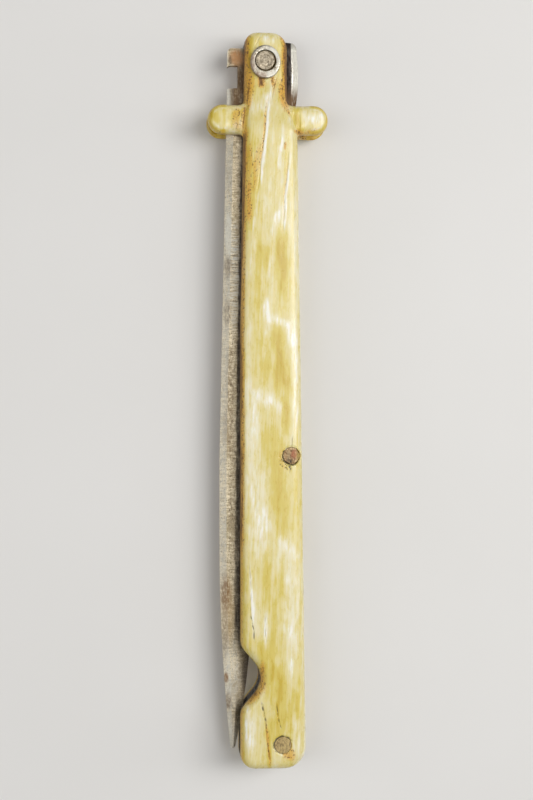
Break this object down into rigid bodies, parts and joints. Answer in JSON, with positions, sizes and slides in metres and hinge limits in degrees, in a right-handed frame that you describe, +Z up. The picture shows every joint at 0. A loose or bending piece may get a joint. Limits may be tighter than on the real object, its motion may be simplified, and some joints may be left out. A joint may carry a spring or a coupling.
{
  "type": "folding pocket knife",
  "caption": "Slim folding knife: pale horn scales with a small guard, a long tapering blade that swings out of the handle, and a leaf spring along the back that locks it open.",
  "frame": {"origin": "middle of the knife's box, on the surface that it lies on", "axes": "+X from the blade side of the handle to its back, +Y along the handle towards the pivot, +Z up through the thickness, out of the front scale"},
  "size_m": [0.0214, 0.13, 0.01],
  "materials": {
    "horn": "polished pale yellow horn with streaks and pearly patches",
    "liner_steel": "dull grey sheet",
    "blade_steel": "filed and pitted, with old rust stains",
    "spring_steel": "worn bright, dark in the pits",
    "pin_steel": "hammered end grain",
    "rosette_steel": "hand filed, silvery, stained at the rim",
    "rivet_iron": "brown pitted iron, filed flush"
  },
  "bodies": {
    "handle": {"front_scale": "horn", "rear_scale": "horn", "front_liner": "liner_steel", "rear_liner": "liner_steel", "back_spring_tail": "spring_steel", "pivot_pin": "pin_steel", "front_rosette": "rosette_steel", "rear_rosette": "rosette_steel", "middle_rivet": "rivet_iron", "butt_rivet": "rivet_iron"},
    "blade": {"blade": "blade_steel"},
    "spring_arm": {"back_spring_arm": "spring_steel"}
  },
  "joints": [
    {"name": "blade_pivot", "type": "hinge", "parent": "handle", "child": "blade", "pos_m": [-0.0006, 0.0596, 0.005], "axis": [0, 0, -1], "range_deg": [0, 180], "deforming": ["back_spring_arm"]},
    {"name": "lock_lift", "type": "hinge", "parent": "handle", "child": "spring_arm", "pos_m": [0.00396, -0.0098, 0.005], "axis": [0, 0, -1], "range_deg": [0, 2], "stiffness_Nm_per_rad": 13.7, "springref_deg": -0.57}
  ]
}
